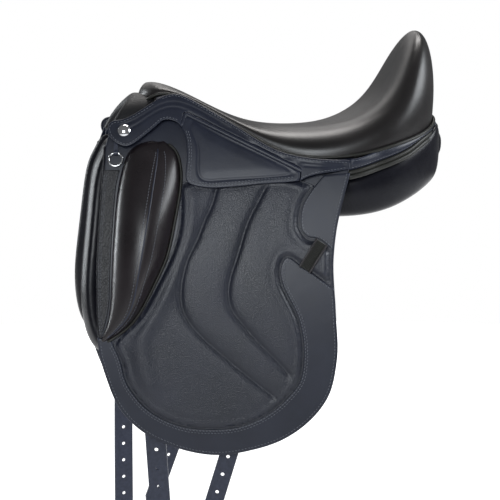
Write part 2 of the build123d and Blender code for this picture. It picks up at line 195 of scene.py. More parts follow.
def make(name, points, faces, material, side=1.0, weld=0.0):
    """A closed mesh object from points in mm, mirrored to the given side, with its faces turned outward."""
    mesh = bpy.data.meshes.new(name)
    mesh.from_pydata((mirrored(points, side) * MM).tolist(), [], [tuple(int(i) for i in f) for f in faces])
    shape = bmesh.new()
    shape.from_mesh(mesh)
    if weld:
        bmesh.ops.remove_doubles(shape, verts=shape.verts, dist=weld * MM)
    bmesh.ops.recalc_face_normals(shape, faces=shape.faces)
    shape.to_mesh(mesh)
    shape.free()
    mesh.materials.append(material)
    mesh.polygons.foreach_set("use_smooth", [True] * len(mesh.polygons))
    obj = bpy.data.objects.new(name, mesh)
    bpy.context.scene.collection.objects.link(obj)
    return obj


def grid_faces(rows, columns, wrap_rows=False, wrap_columns=False, first=0):
    faces = []
    for i in range(rows if wrap_rows else rows - 1):
        for j in range(columns if wrap_columns else columns - 1):
            a = first + i * columns + j
            b = first + i * columns + (j + 1) % columns
            c = first + ((i + 1) % rows) * columns + (j + 1) % columns
            d = first + ((i + 1) % rows) * columns + j
            faces.append((a, b, c, d))
    return faces


def tube_points(path, radius, closed=False, sides=10, flat=1.0, up=None):
    """Rings round a path: (points, faces), with rounded ends on an open one. flat squeezes along up."""
    path = np.asarray(path, float)
    n = len(path)
    if closed:
        tangent = np.roll(path, -1, axis=0) - np.roll(path, 1, axis=0)
    else:
        tangent = np.gradient(path, axis=0)
    tangent /= np.linalg.norm(tangent, axis=1)[:, None]
    if up is None:
        normal = np.zeros_like(path)
        v = np.cross(tangent[0], [0.3, 0.5, 0.8])
        for i in range(n):
            v = v - tangent[i] * v.dot(tangent[i])
            v /= np.linalg.norm(v)
            normal[i] = v
    else:
        normal = up - tangent * (up * tangent).sum(1)[:, None]
        normal /= np.linalg.norm(normal, axis=1)[:, None]
    across = np.cross(tangent, normal)
    angle = np.linspace(0, 2 * pi, sides, endpoint=False)
    radius = np.broadcast_to(radius, (n,)).astype(float)
    rings = (path[:, None]
             + across[:, None] * (np.cos(angle)[None, :, None] * radius[:, None, None])
             + normal[:, None] * (np.sin(angle)[None, :, None] * radius[:, None, None] * flat))
    points = rings.reshape(-1, 3)
    faces = grid_faces(n, sides, wrap_rows=closed, wrap_columns=True)
    if closed:
        return points, faces
    for end, direction in ((0, -1), (n - 1, 1)):
        outward = tangent[end] * direction * radius[end]
        lid = path[end] + (rings[end] - path[end]) * 0.6 + outward * 0.7
        tip = path[end] + outward * 0.95
        first = len(points)
        points = np.vstack([points, lid, tip])
        for j in range(sides):
            k = (j + 1) % sides
            a, b = end * sides + j, end * sides + k
            c, d = first + k, first + j
            faces.append((a, b, c, d) if direction > 0 else (b, a, d, c))
            faces.append((d, c, first + sides) if direction > 0 else (c, d, first + sides))
    return points, faces


def tube(name, path, radius, material, slot, side=1.0, **shape):
    """A cord or roll along a path, as a mesh object."""
    points, faces = tube_points(path, radius, **shape)
    return make(name, points, faces, material, side=side)


def shell(name, rows, material, side=1.0):
    """A mesh object from long lines that follow each other round its section, with a face at each end."""
    rows = np.array(rows)
    count = rows.shape[1]
    faces = grid_faces(len(rows), count, wrap_rows=True)
    faces.append(tuple(i * count for i in range(len(rows))))
    faces.append(tuple(i * count + count - 1 for i in range(len(rows) - 1, -1, -1)))
    return make(name, rows.reshape(-1, 3), faces, material, side=side)


class Batch:
    """Several small shapes gathered into one mesh."""

    def __init__(self):
        self.points = []
        self.faces = []
        self.count = 0

    def add(self, points, faces):
        self.points.append(np.asarray(points, float))
        self.faces += [tuple(i + self.count for i in f) for f in faces]
        self.count += len(points)

    def make(self, name, material, slot, side=1.0):
        return make(name, np.vstack(self.points), self.faces, material, side=side)


STITCH = 3.3                # length of a stitch; the thread's radius is THREAD
STITCH_PITCH = 4.4
STITCH_RISE = (-0.55, 0.1, 0.25, 0.1, -0.55)
STITCH_SLANT = 0.18
THREAD = 0.42


def stitch_row(batch, path, ups, lift=0.12):
    """A row of saddler's stitches along a path; each dips into the leather at its ends."""
    path = np.asarray(path, float)
    length = np.r_[0, np.cumsum(np.linalg.norm(np.diff(path, axis=0), axis=1))]
    rings, around = len(STITCH_RISE), 6
    faces = grid_faces(rings, around, wrap_columns=True)
    faces.append(tuple(reversed(range(around))))
    faces.append(tuple(range((rings - 1) * around, rings * around)))
    for k in range(int((length[-1] - 2) / STITCH_PITCH)):
        at = 1.5 + (k + 0.5) * STITCH_PITCH + np.linspace(-0.5, 0.5, rings) * STITCH
        centre = np.stack([np.interp(at, length, path[:, i]) for i in range(3)], axis=1)
        up = np.stack([np.interp(at, length, ups[:, i]) for i in range(3)], axis=1)
        direction = centre[-1] - centre[0]
        slant = np.cross(direction, up[2])
        slant /= np.linalg.norm(slant) + 1e-9
        slant = slant * np.linspace(-STITCH_SLANT, STITCH_SLANT, rings)[:, None]
        direction /= np.linalg.norm(direction) + 1e-9
        points = []
        for i in range(rings):
            u = up[i] / np.linalg.norm(up[i])
            s = np.cross(direction, u)
            r = THREAD * (0.55 if i in (0, rings - 1) else 1.0)
            c = centre[i] + u * (STITCH_RISE[i] + lift) + slant[i]
            for a in range(around):
                points.append(c + s * r * cos(a * pi / 3) + u * r * sin(a * pi / 3))
        batch.add(np.array(points), faces)


def sheet_stitches(batch, pq, height, lift=0.12):
    """Stitches along a line of (p, q) on the sheet, at a height or an array of heights."""
    pq = even(pq, 1.5)
    heights = height(pq) if callable(height) else height
    stitch_row(batch, on_sheet(pq, heights), out_of_sheet(pq[:, 1]), lift)


def beside(line, by):
    """An open line moved sideways; a positive distance is to the left of its travel."""
    a = np.asarray(line, float)
    tangent = np.gradient(a, axis=0)
    tangent /= np.linalg.norm(tangent, axis=1)[:, None] + 1e-9
    return a + np.stack([-tangent[:, 1], tangent[:, 0]], axis=1) * by


def inset(outline, by):
    """A closed outline moved inward by a distance."""
    a = np.asarray(outline, float)
    tangent = np.roll(a, -2, axis=0) - np.roll(a, 2, axis=0)
    tangent /= np.linalg.norm(tangent, axis=1)[:, None] + 1e-9
    normal = np.stack([-tangent[:, 1], tangent[:, 0]], axis=1)
    area = 0.5 * np.sum(a[:, 0] * np.roll(a[:, 1], -1) - np.roll(a[:, 0], -1) * a[:, 1])
    return a + normal * by * (1 if area > 0 else -1)


def plate(name, outline, top, bottom, edge, material, side, step=3.0, finer=()):
    """A leather layer on the sheet, from its outline and its top and bottom heights.

    top and bottom are functions of (points, distance to the edge). edge is the rounding of the rim. The mesh
    has a point about every step, and closer ones beside the lines in finer.
    """
    outline = np.asarray(outline, float)
    lo, hi = outline.min(0), outline.max(0)
    pp, qq = np.meshgrid(np.arange(lo[0], hi[0] + step, step), np.arange(lo[1], hi[1] + step, step))
    pp[1::2] += step / 2
    cloud = np.stack([pp.ravel(), qq.ravel()], axis=1)
    cloud = cloud[inside(cloud, outline)]
    cloud = cloud[distance(cloud, outline, True) > edge + step]
    for line in finer:
        for shift in (-4.5, -3.0, -1.5, 0.0, 1.5, 3.0, 4.5):
            extra = beside(even(line, 2.5), shift)
            extra = extra[inside(extra, outline)]
            extra = extra[distance(extra, outline, True) > edge + step]
            if len(extra):
                cloud = cloud[distance(cloud, extra) > 1.2]
                cloud = np.vstack([cloud, extra])
    rings = []
    for depth in (edge * 0.12, edge * 0.42, edge, edge + step * 0.55):
        ring = inset(outline, depth)
        ring = ring[inside(ring, outline)]
        rings.append(ring[distance(ring, outline, True) > depth * 0.93])
    points = np.vstack([outline] + rings + [cloud])
    n = len(outline)
    edges = [(i, (i + 1) % n) for i in range(n)]
    verts, _, tris, _, _, _ = delaunay_2d_cdt([Vector(p) for p in points], edges, [], 1, 1e-5)
    flat = np.array([v[:] for v in verts])
    tris = [tuple(t) for t in tris]
    count = len(flat)
    d = distance(flat, outline, True)
    rounding = np.clip(edge - d, 0, edge)
    drop = edge - np.sqrt(np.maximum(edge ** 2 - rounding ** 2, 0))
    high = top(flat, d) - drop
    low = np.minimum(bottom(flat, d) + drop * 0.6, high - 0.02)
    uses = {}
    for t in tris:
        for a, b in ((t[0], t[1]), (t[1], t[2]), (t[2], t[0])):
            key = (min(a, b), max(a, b))
            uses[key] = None if key in uses else (a, b)
    rim = [e for e in uses.values() if e]
    v0, v1, v2 = flat[tris[0][0]], flat[tris[0][1]], flat[tris[0][2]]
    turn = (v1[0] - v0[0]) * (v2[1] - v0[1]) - (v1[1] - v0[1]) * (v2[0] - v0[0])
    faces = list(tris) + [tuple(count + i for i in reversed(t)) for t in tris]
    faces += [(b, a, a + count, b + count) for a, b in rim]
    if turn < 0:
        faces = [tuple(reversed(f)) for f in faces]
    points = np.vstack([on_sheet(flat, high), on_sheet(flat, low)])
    return make(name, points, faces, material, side=side)


# ------------------------------------------------------------------ materials
def nodes_of(name):
    """A new material: (material, its node tree, its shader, the object's own coordinates)."""
    material = bpy.data.materials.new(name)
    material.use_nodes = True
    tree = material.node_tree
    tree.nodes.clear()
    out = tree.nodes.new("ShaderNodeOutputMaterial")
    shader = tree.nodes.new("ShaderNodeBsdfPrincipled")
    tree.links.new(shader.outputs[0], out.inputs[0])
    where = tree.nodes.new("ShaderNodeTexCoord").outputs["Object"]
    return material, tree, shader, where


def feed(tree, n, inputs):
    """Give a node's inputs their values, each a plain value or another node's output."""
    for key, value in inputs.items():
        if hasattr(value, "links"):
            tree.links.new(value, n.inputs[key])
        else:
            n.inputs[key].default_value = value


def node(tree, kind, inputs=None, **settings):
    n = tree.nodes.new(kind)
    for key, value in settings.items():
        setattr(n, key, value)
    feed(tree, n, inputs or {})
    return n


def noise(tree, where, scale, detail=3.0, rough=0.55):
    return node(tree, "ShaderNodeTexNoise", {"Vector": where, "Scale": scale, "Detail": detail,
                                             "Roughness": rough}).outputs["Fac"]


def spread(tree, value, from_lo, from_hi, to_lo, to_hi):
    return node(tree, "ShaderNodeMapRange", {"Value": value, "From Min": from_lo, "From Max": from_hi,
                                             "To Min": to_lo, "To Max": to_hi}).outputs["Result"]


def plus(tree, a, b):
    return node(tree, "ShaderNodeMath", {0: a, 1: b}, operation="ADD").outputs[0]


def times(tree, a, b):
    return node(tree, "ShaderNodeMath", {0: a, 1: b}, operation="MULTIPLY").outputs[0]


def mix(tree, factor, a, b):
    return node(tree, "ShaderNodeMix", {0: factor, 6: a, 7: b}, data_type="RGBA").outputs[2]


def bump(tree, height, strength, depth, **more):
    """A bump whose depth is in mm."""
    return node(tree, "ShaderNodeBump", {"Height": height, "Strength": strength, "Distance": depth * MM,
                                         **more}).outputs[0]


def rgb(*c):
    return (*c, 1.0)


def leather(name, dark, light, rough, pebble, depth, wear=0.5, coat=0.0, gleam=0.4):
    """Finished leather: mottled dye, pebble grain with fine creases, and edges rubbed lighter."""
    material, tree, shader, where = nodes_of(name)
    mottle = spread(tree, noise(tree, where, 14.0, 5.0, 0.6), 0.3, 0.7, 0.0, 1.0)
    fine = noise(tree, where, 90.0, 4.0, 0.6)
    dye = plus(tree, times(tree, mottle, 0.7), times(tree, fine, 0.3))
    rub = spread(tree, node(tree, "ShaderNodeNewGeometry").outputs["Pointiness"], 0.52, 0.60, 0.0, wear)
    rub = times(tree, rub, spread(tree, noise(tree, where, 240.0, 3.0), 0.35, 0.65, 0.4, 1.0))
    rubbed = rgb(*[min(1.0, c * 3.2 + 0.02) for c in light])
    pebbles = node(tree, "ShaderNodeTexVoronoi", {"Vector": where, "Scale": pebble, "Smoothness": 0.6},
                   feature="SMOOTH_F1").outputs["Distance"]
    creases = node(tree, "ShaderNodeTexVoronoi", {"Vector": where, "Scale": pebble * 0.55},
                   feature="DISTANCE_TO_EDGE").outputs["Distance"]
    creases = spread(tree, creases, 0.0, 0.14, 0.0, 1.0)
    height = plus(tree, times(tree, pebbles, -0.7), times(tree, creases, 0.25))
    height = plus(tree, height, times(tree, noise(tree, where, pebble * 2.6, 2.0), 0.35))
    grain = bump(tree, height, 0.75, depth)
    gloss = plus(tree, times(tree, mottle, 0.08), times(tree, pebbles, 0.12))
    feed(tree, shader, {
        "Base Color": mix(tree, rub, mix(tree, dye, rgb(*dark), rgb(*light)), rubbed),
        "Normal": bump(tree, noise(tree, where, 60.0, 3.0), 0.35, 0.5, Normal=grain),
        "Roughness": plus(tree, gloss, rough - 0.08),
        "Specular IOR Level": gleam, "Coat Weight": coat, "Coat Roughness": 0.3,
    })
    return material


def woven(name, dark, light, pitch):
    """Narrow woven or ribbed tape."""
    material, tree, shader, where = nodes_of(name)
    weave = times(tree, *[
        node(tree, "ShaderNodeTexWave", {"Vector": where, "Scale": pitch, "Distortion": 0.6},
             bands_direction=direction).outputs["Fac"]
        for direction in ("DIAGONAL", "Z")])
    feed(tree, shader, {"Base Color": mix(tree, weave, rgb(*dark), rgb(*light)), "Roughness": 0.85,
                        "Sheen Weight": 0.2, "Normal": bump(tree, weave, 0.7, 0.35)})
    return material


def metal(name, colour, rough, brush):
    """Bright or brushed metal with faint scratches and dull patches."""
    material, tree, shader, where = nodes_of(name)
    patch = noise(tree, where, 70.0, 4.0)
    stretch = node(tree, "ShaderNodeMapping", {"Vector": where, "Scale": (1.0, 1.0, 14.0)}).outputs[0]
    feed(tree, shader, {
        "Base Color": mix(tree, patch, rgb(*[c * 0.82 for c in colour]), rgb(*colour)), "Metallic": 1.0,
        "Roughness": spread(tree, patch, 0.3, 0.7, rough * 0.7, rough * 1.4),
        "Normal": bump(tree, noise(tree, stretch, 300.0, 2.0), brush, 0.08),
    })
    return material


def plain(name, dark, light, rough, scale, depth):
    """Moulded plastic, foam or thread: a mottled colour with a fine uneven surface."""
    material, tree, shader, where = nodes_of(name)
    feed(tree, shader, {
        "Base Color": mix(tree, noise(tree, where, scale, 4.0), rgb(*dark), rgb(*light)), "Roughness": rough,
        "Normal": bump(tree, noise(tree, where, scale * 6, 3.0), 0.6, depth),
    })
    return material


SEAT_LEATHER = leather("seat_leather", (0.006, 0.005, 0.005), (0.013, 0.011, 0.011), 0.34, 1500, 0.05,
                       wear=0.10, coat=0.12)
PANEL_LEATHER = leather("panel_leather", (0.003, 0.003, 0.005), (0.008, 0.008, 0.012), 0.27, 1500, 0.05,
                        wear=0.12, coat=0.04, gleam=0.18)
STRAP_LEATHER = leather("strap_leather", (0.006, 0.008, 0.016), (0.012, 0.015, 0.029), 0.38, 1300, 0.07,
                        wear=0.35, coat=0.06)
GRAIN_LEATHER = leather("grain_leather", (0.005, 0.007, 0.013), (0.012, 0.014, 0.026), 0.36, 620, 0.48,
                        wear=0.25, coat=0.06, gleam=0.48)
POMMEL_LEATHER = leather("pommel_leather", (0.003, 0.003, 0.004), (0.007, 0.007, 0.009), 0.52, 1300, 0.07,
                         wear=0.1)
BLOCK_LEATHER = leather("block_leather", (0.007, 0.005, 0.006), (0.015, 0.011, 0.013), 0.30, 1100, 0.08,
                        wear=0.15, coat=0.12)
GRIP = leather("grip_leather", (0.006, 0.006, 0.007), (0.022, 0.022, 0.026), 0.42, 420, 0.7)
PIPING = leather("piping", (0.006, 0.006, 0.005), (0.014, 0.014, 0.011), 0.45, 1600, 0.04, wear=0.2)
ELASTIC = woven("elastic", (0.005, 0.005, 0.004), (0.026, 0.026, 0.019), 520)
WEBBING = woven("webbing", (0.30, 0.27, 0.21), (0.62, 0.58, 0.48), 260)
THREAD_GREY = plain("thread", (0.06, 0.065, 0.08), (0.14, 0.15, 0.175), 0.6, 400, 0.05)
STEEL = metal("steel", (0.52, 0.52, 0.54), 0.34, 0.5)
CHROME = metal("bright_steel", (0.80, 0.80, 0.82), 0.16, 0.15)
TREE = plain("tree", (0.03, 0.03, 0.034), (0.06, 0.06, 0.066), 0.55, 40, 0.15)
FOAM = plain("foam", (0.45, 0.40, 0.26), (0.62, 0.56, 0.40), 0.9, 120, 0.4)
CAD_LOOKS = {
    "tree_shell": TREE, "seat_foam": FOAM, "seat_web": WEBBING, "girth_web": WEBBING, "head_plate": STEEL,
    "stirrup_bar": STEEL, "bar_catch": STEEL, "catch_pin": STEEL, "d_ring": CHROME, "pommel_stud": CHROME,
    "seat_welt": PIPING, "rear_piping": PIPING,
}

for name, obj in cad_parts.items():
    kind = name.rsplit("_", 1)[0] if name.endswith(("_left", "_right")) else name
    obj.data.materials.clear()
    obj.data.materials.append(CAD_LOOKS.get(kind, STRAP_LEATHER))


# ------------------------------------------------------------------ the seat
# Each line has sixteen stations, from the middle of the pommel, round the near side, to the cantle's middle.
SEAT_RIM = [
    (-160, 0, 206), (-151, 33, 212), (-134, 42, 221), (-100, 49, 216), (-61, 64, 194), (-23, 86, 170),
    (16, 106, 147), (60, 122, 138), (110, 131, 140), (150, 129, 148), (180, 121, 156), (205, 107, 163),
    (224, 92, 170), (241, 70, 178), (253, 40, 186), (258, 0, 190),
]
SEAT_BELLY = [
    (-164, 0, 216), (-153, 34, 221), (-135, 44, 228), (-100, 51, 221), (-61, 66, 199), (-23, 88, 176),
    (16, 108, 155), (60, 124, 148), (110, 135, 153), (150, 135, 164), (180, 128, 180), (204, 116, 202),
    (224, 101, 221), (243, 78, 242), (256, 44, 257), (262, 0, 264),
]
SEAT_CREST = [
    (-158, 0, 230), (-146, 22, 232), (-133, 27, 233), (-100, 31, 223), (-61, 43, 202), (-23, 59, 184),
    (16, 79, 173), (60, 93, 171), (110, 105, 177), (148, 109, 195), (176, 104, 217), (197, 95, 250),
    (213, 81, 283), (229, 56, 308), (240, 29, 318), (244, 0, 321),
]
SEAT_INNER = [
    (-151, 0, 235), (-143, 11, 236), (-131, 14, 236), (-100, 15, 225.5), (-61, 21, 204.5), (-23, 30, 187),
    (16, 40, 177.5), (60, 47, 176), (106, 54, 178), (142, 59, 188), (167, 60, 206), (187, 58, 233),
    (201, 52, 262), (213, 38, 287), (220, 19, 300), (223, 0, 304),
]
SEAT_MIDDLE = [
    (-145, 0, 236), (-141, 0, 236.3), (-130, 0, 235.8), (-100, 0, 226), (-61, 0, 205), (-23, 0, 188),
    (16, 0, 179), (60, 0, 177), (102, 0, 179), (136, 0, 187), (160, 0, 198), (178, 0, 213), (190, 0, 229),
    (199, 0, 246), (205, 0, 260), (208, 0, 268),
]
SEAT_RELAXING = 100         # passes that even out the leather between the stations


def sheared(x, y):
    """Lengthwise place in the saddle of a point drawn on the plane of the flaps."""
    return 0.984 * x - 13.4 + 0.0866 * np.abs(y)


def half_loop(line, count):
    """A near-side line from the middle of the front to the middle of the back, square to the centre plane."""
    line = np.asarray(line, float)
    pts = np.vstack([line[2:0:-1] * MIRROR, line, line[-2:-4:-1] * MIRROR])
    return cubic(np.arange(len(pts)), pts, 2 + np.linspace(0, len(line) - 1, count))


def make_seat():
    """The seat's leather over its foam; gives the line of its rim."""
    rows, columns = 150, 44
    lines = [half_loop(line, rows) for line in (SEAT_RIM, SEAT_BELLY, SEAT_CREST, SEAT_INNER, SEAT_MIDDLE)]
    for line in lines:
        line[:, 0] = sheared(line[:, 0], line[:, 1])
    rim, belly, crest, inner, middle = lines
    low = rim - (rim - [60, 0, rim[:, 2].mean()]) * [0.02, 0.03, 0] - [0, 0, 9]
    surface = []
    for i in range(rows):
        beyond = [2 * middle[i, 0] - inner[i, 0], -inner[i, 1], inner[i, 2]]
        row = np.vstack([low[i], rim[i], belly[i], crest[i], inner[i], middle[i], beyond])
        knots = np.r_[0, np.cumsum(np.linalg.norm(np.diff(row, axis=0), axis=1) ** 0.5 + 1e-3)]
        surface.append(cubic(knots, row, np.linspace(0, knots[5], columns)))
    near = np.array(surface) * MIRROR
    ring = np.concatenate([near, (near * MIRROR)[-2:0:-1]])
    n = len(ring)
    opposite = (n - np.arange(n)) % n
    for _ in range(SEAT_RELAXING):
        beyond = ring[opposite, -2][:, None]
        right = np.concatenate([ring[:, 1:], beyond], axis=1)
        mean = (np.roll(ring, 1, axis=0) + np.roll(ring, -1, axis=0) + np.roll(ring, 1, axis=1) + right) / 4
        ring[:, 4:] += 0.6 * (mean - ring)[:, 4:]
    faces = grid_faces(n, columns, wrap_rows=True)
    under = ring[:, 0] * [0.96, 0.9, 1] + [2, 0, 3]
    first = n * columns
    points = np.vstack([ring.reshape(-1, 3), under, [[60, 0, 150]]])
    for i in range(n):
        j = (i + 1) % n
        faces.append((i * columns, j * columns, first + j, first + i))
        faces.append((first + i, first + j, first + n))
    seat = make("seat_cover_padded", points, faces, SEAT_LEATHER, weld=0.05)
    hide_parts("seat_cover", "seat_foam")
    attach(seat, ROOT)
    return rim


def make_welt(rim):
    """Piping round the rim of the seat."""
    line = np.vstack([rim * MIRROR, rim[-2:0:-1]])
    outward = (line - [50, 0, 0]) * [1, 1, 0]
    outward /= np.linalg.norm(outward, axis=1)[:, None]
    path = even(np.vstack([line, line[:1]]), 2.5, closed=True)
    outward = np.stack([np.interp(np.linspace(0, 1, len(path)), np.linspace(0, 1, len(line)), outward[:, i])
                        for i in range(3)], axis=1)
    path = path + outward * 1.6 - [0, 0, 1.0]
    welt = tube("seat_welt_piping", path, 2.3, PIPING, "piping", closed=True, sides=12)
    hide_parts("seat_welt")
    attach(welt, ROOT)


def make_pommel():
    """Leather that wraps the arch of the head and runs back under the seat's front and the skirts."""
    front = [(-206, -55, 170), (-199, -51, 182), (-189, -42, 196), (-178, -25, 208), (-173, 0, 213)]
    back = [(-184, -52, 160), (-170, -50, 178), (-155, -44, 197), (-146, -28, 210), (-144, 0, 213)]
    count = 90
    ahead, behind = (curve(half + [(x, -y, z) for x, y, z in half[-2::-1]], count=count)
                     for half in (front, back))
    along = np.gradient(ahead, axis=0)
    along /= np.linalg.norm(along, axis=1)[:, None]
    forward = ahead - behind
    forward /= np.linalg.norm(forward, axis=1)[:, None]
    outward = np.cross(forward, along)
    outward *= np.sign((outward * (ahead - [-180, 0, 120])).sum(1))[:, None]
    outward /= np.linalg.norm(outward, axis=1)[:, None]
    thick = (8.6 - 2.0 * np.abs(np.linspace(-1, 1, count)) ** 4)[:, None]
    rows = [behind + outward * thick * 0.9]
    rows += [behind * (1 - t) + ahead * t + outward * thick * (0.9 + 0.1 * t) for t in (0.3, 0.6, 0.85)]
    rows += [ahead + (outward * cos(a) + forward * sin(a)) * thick for a in np.linspace(0, pi, 13)]
    rows += [behind * (1 - t) + ahead * t - outward * thick for t in (0.6, 0.3, 0.0)]
    facing = shell("pommel_front_leather", rows, POMMEL_LEATHER)
    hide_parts("pommel_facing")
    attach(facing, ROOT)


REAR_LINE = [
    (98, 129, 120), (135, 131, 129), (166, 125, 139), (190, 113, 149), (208, 99, 160), (226, 78, 169),
    (241, 48, 176), (246, 22, 179), (247, 0, 180),
]


def both_ways(line):
    """A line drawn on one side, and its mirror, joined behind the cantle into one line."""
    line = np.array(line, float) * MIRROR
    return np.vstack([line, line[-2::-1] * MIRROR])


def make_rear_band(rim):
    """The leather band under the seat's rim, round the cantle, and the two rolls of piping below it."""
    count = 150
    top_edge = even(curve(both_ways([p for p in rim if p[0] > 96]), 2.0), 1.0, count=count)
    low_edge = even(curve(both_ways(REAR_LINE), 2.0), 1.0, count=count)
    away = top_edge * [1, 1, 0] - [60, 0, 0]
    away /= np.linalg.norm(away, axis=1)[:, None]
    start = 1 - smooth(top_edge[:, 0], 100, 150)
    top_edge = top_edge + away * (13 * start)[:, None] - np.outer(start, [0, 0, 2.5])
    low_edge = low_edge + away * (13 * start)[:, None]

    def across(t, out):
        """The line a share t of the way down the band, moved outward."""
        return top_edge * (1 - t) + low_edge * t + away * out - [0, 0, 2.0 * (1 - t)]

    def face(t):
        return across(t, 0.6 + 1.6 * np.sin(pi * t))

    rows = [face(t) for t in np.linspace(0, 1, 9)] + [across(t, -3.2) for t in np.linspace(1, 0, 5)]
    band = shell("cantle_band_leather", rows, STRAP_LEATHER)
    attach(band, ROOT)
    thread = Batch()
    for share in (0.78, 0.16):
        stitch_row(thread, face(share), away, 0.2)
    stitches = thread.make("cantle_band_stitching", THREAD_GREY, "strap_leather")
    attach(stitches, ROOT)
    rolls = Batch()
    for drop, out, radius in ((3.0, 1.0, 3.0), (9.0, 1.4, 3.4)):
        rolls.add(*tube_points(low_edge + away * out - [0, 0, drop], radius, sides=12))
    piping = rolls.make("rear_piping_rolls", PIPING, "piping")
    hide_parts("rear_piping")
    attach(piping, ROOT)


seat_rim = make_seat()
make_welt(seat_rim)
make_pommel()
make_rear_band(seat_rim)


# ------------------------------------------------------------------ outlines of the near side, (p, q) in mm
FLAP_EDGE = [
    (-203, 150), (-204, 113), (-207, 73), (-210, 24), (-211, -33), (-209, -83), (-206, -123), (-197, -153),
    (-187, -179), (-175, -199), (-152, -222), (-119, -240), (-84, -251), (-46, -255), (-7, -249), (31, -237),
    (61, -219), (84, -197), (100, -171), (107, -143), (110, -113), (108, -77), (106, -44), (104, -9),
    (105, 16), (109, 48), (117, 83), (125, 112),
]
HEAD_TOP = [
    (124, 128), (107, 129), (80, 131), (52, 134), (21, 144), (-26, 172), (-62, 192), (-102, 213), (-134, 208),
    (-160, 194), (-181, 185), (-198, 171),
]
PAD_FRONT = [
    (-103, 100), (-103, 45), (-117, 0), (-136, -38), (-158, -74), (-184, -101), (-187, -112), (-179, -129),
    (-172, -155), (-159, -177), (-142, -195), (-119, -209), (-89, -219), (-59, -221), (-28, -219), (5, -208),
    (30, -192), (48, -174), (60, -157), (65, -134), (65, -106), (61, -83), (54, -63), (41, -38), (35, -21),
    (35, -6), (42, 6), (57, -2),
]
PAD_GAP = [(57, -2), (73, -12), (90, -24), (101, -33)]
PAD_GAP_TOP = [(101, 14), (93, 23), (83, 29), (71, 31)]
PAD_BACK = [(71, 31), (61, 42), (59, 58), (62, 74), (69, 88), (79, 100)]
PAD_TOP = [(79, 100), (58, 108), (30, 113), (-40, 112), (-88, 108), (-103, 100)]
BAND_LOWER_IN = [
    (57, -1.6), (42, 6.6), (34.6, -6), (34.6, -21), (40.6, -38), (53.6, -63), (60.6, -83), (64.6, -106),
    (64.6, -134), (59.6, -157), (47.6, -174), (29.6, -191.6), (4.6, -207.6), (-28, -218.6), (-59, -220.6),
    (-89, -218.6), (-119, -208.6), (-142, -194.6), (-158.6, -177), (-171.6, -155), (-178.6, -129),
    (-186.6, -112), (-190, -104),
]
GROOVE_A = [
    (-45, 112), (-52, 96), (-59, 73), (-68, 54), (-77, 30), (-88, 8), (-95, -15), (-98, -37), (-96, -60),
    (-86, -80), (-68, -100), (-45, -120), (-20, -141), (5, -161), (32, -181),
]
GROOVE_B = [
    (21, 112), (13, 98), (0, 73), (-11, 50), (-24, 7), (-32, -18), (-35, -43), (-30, -63), (-17, -80),
    (3, -103), (23, -123), (45, -146),
]
RIDGE_FRONT = [
    (-92, 98), (-93, 60), (-99, 20), (-112, -20), (-126, -50), (-140, -76), (-150, -110), (-140, -160),
]
FINGER = [
    (-134, 214), (-160, 197), (-181, 187), (-193, 185), (-199, 179), (-198, 168), (-190, 158), (-183, 154),
    (-172, 152), (-152, 164), (-134, 179), (-127, 185), (-120, 187), (-113, 186), (-106, 183),
    (-101.4, 178.8),
]
SKIRT_LOW = [
    (-100, 177), (-95, 166), (-92, 147), (-92, 130), (-93, 112), (-90, 105), (-82, 101), (-64, 98), (-46, 98),
    (-11, 101), (19, 104), (44, 105.4), (58.6, 107.4),
]
TAIL = [(59.5, 107.6), (68, 111.6), (78, 115), (97, 118), (126, 122)]
BAND_TOP = [
    (126, 133), (107, 134), (80, 136), (52, 140), (21, 150), (-26, 178), (-62, 199), (-89, 214), (-113, 221),
    (-134, 214),
]
CREASES = [
    [(118, 128), (80, 130), (52, 134), (20, 143), (-26, 170), (-62, 191), (-88, 204), (-112, 210),
     (-134, 204), (-160, 188), (-182, 179)],
    [(118, 126), (80, 126), (52, 129), (18, 138), (-30, 163), (-66, 184), (-90, 197), (-112, 203),
     (-136, 196), (-160, 180), (-180, 171)],
]
SKIRT_PANEL = [
    (-85, 186), (-88, 179), (-79, 156), (-77, 130), (-75, 114), (-68, 108), (-46, 108), (19, 112), (52, 116),
]
WING_EDGE = [
    (-205, 160), (-214, 145), (-221, 128), (-226, 100), (-229, 60), (-232, 20), (-235, -25), (-234, -60),
    (-229, -90), (-218, -114), (-198, -126), (-150, -112), (-80, -88), (0, -62), (60, -20), (72, 30),
    (60, 72), (-60, 92), (-140, 124), (-170, 150), (-188, 163),
]

# Heights of the layers' faces, in mm above the middle of the flap leather.
FLAP_FACE = 2.0
PAD_RIM = 3.0
GRIP_FACE = 3.5
LOWER_FACE = 4.6
UPPER_FACE = 4.8
SKIRT_FACE = 13.4
SKIRT_UNDER = 9.4


def fold_q(p):
    """Height of the line that the skirt folds about."""
    return FOLD_A[1] + (FOLD_B[1] - FOLD_A[1]) * (p - FOLD_A[0]) / (FOLD_B[0] - FOLD_A[0])


def level(height):
    return lambda pq, d: np.full(len(pq), float(height))


def bend_with_flap(obj, side_name):
    """Leather nailed at its top: bakes the piece's placement into its mesh. The ends of a bend across the
    flap are worked out but not used, so the piece does not lift with the flap.
    """
    ends = place(np.array([-30.0, -30.0]), np.array([128.0, 20.0]), np.array([122.0, 150.0]))
    start, end = mirrored(ends, SIDES[side_name])
    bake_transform(obj)


# ------------------------------------------------------------------ pieces of one side
def make_flap(side_name):
    """The flap's leather, from the nailed head to its lower edge."""
    side = SIDES[side_name]
    outline = loop(FLAP_EDGE, [FLAP_EDGE[-1], HEAD_TOP[0]], HEAD_TOP, [HEAD_TOP[-1], FLAP_EDGE[0]], step=3.0)
    flap = plate(f"flap_leather_{side_name}", outline, level(FLAP_FACE), level(-FLAP_FACE), 1.6,
                 STRAP_LEATHER, side, step=4.5)
    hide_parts(f"flap_{side_name}", f"flap_head_{side_name}")
    bend_with_flap(flap, side_name)


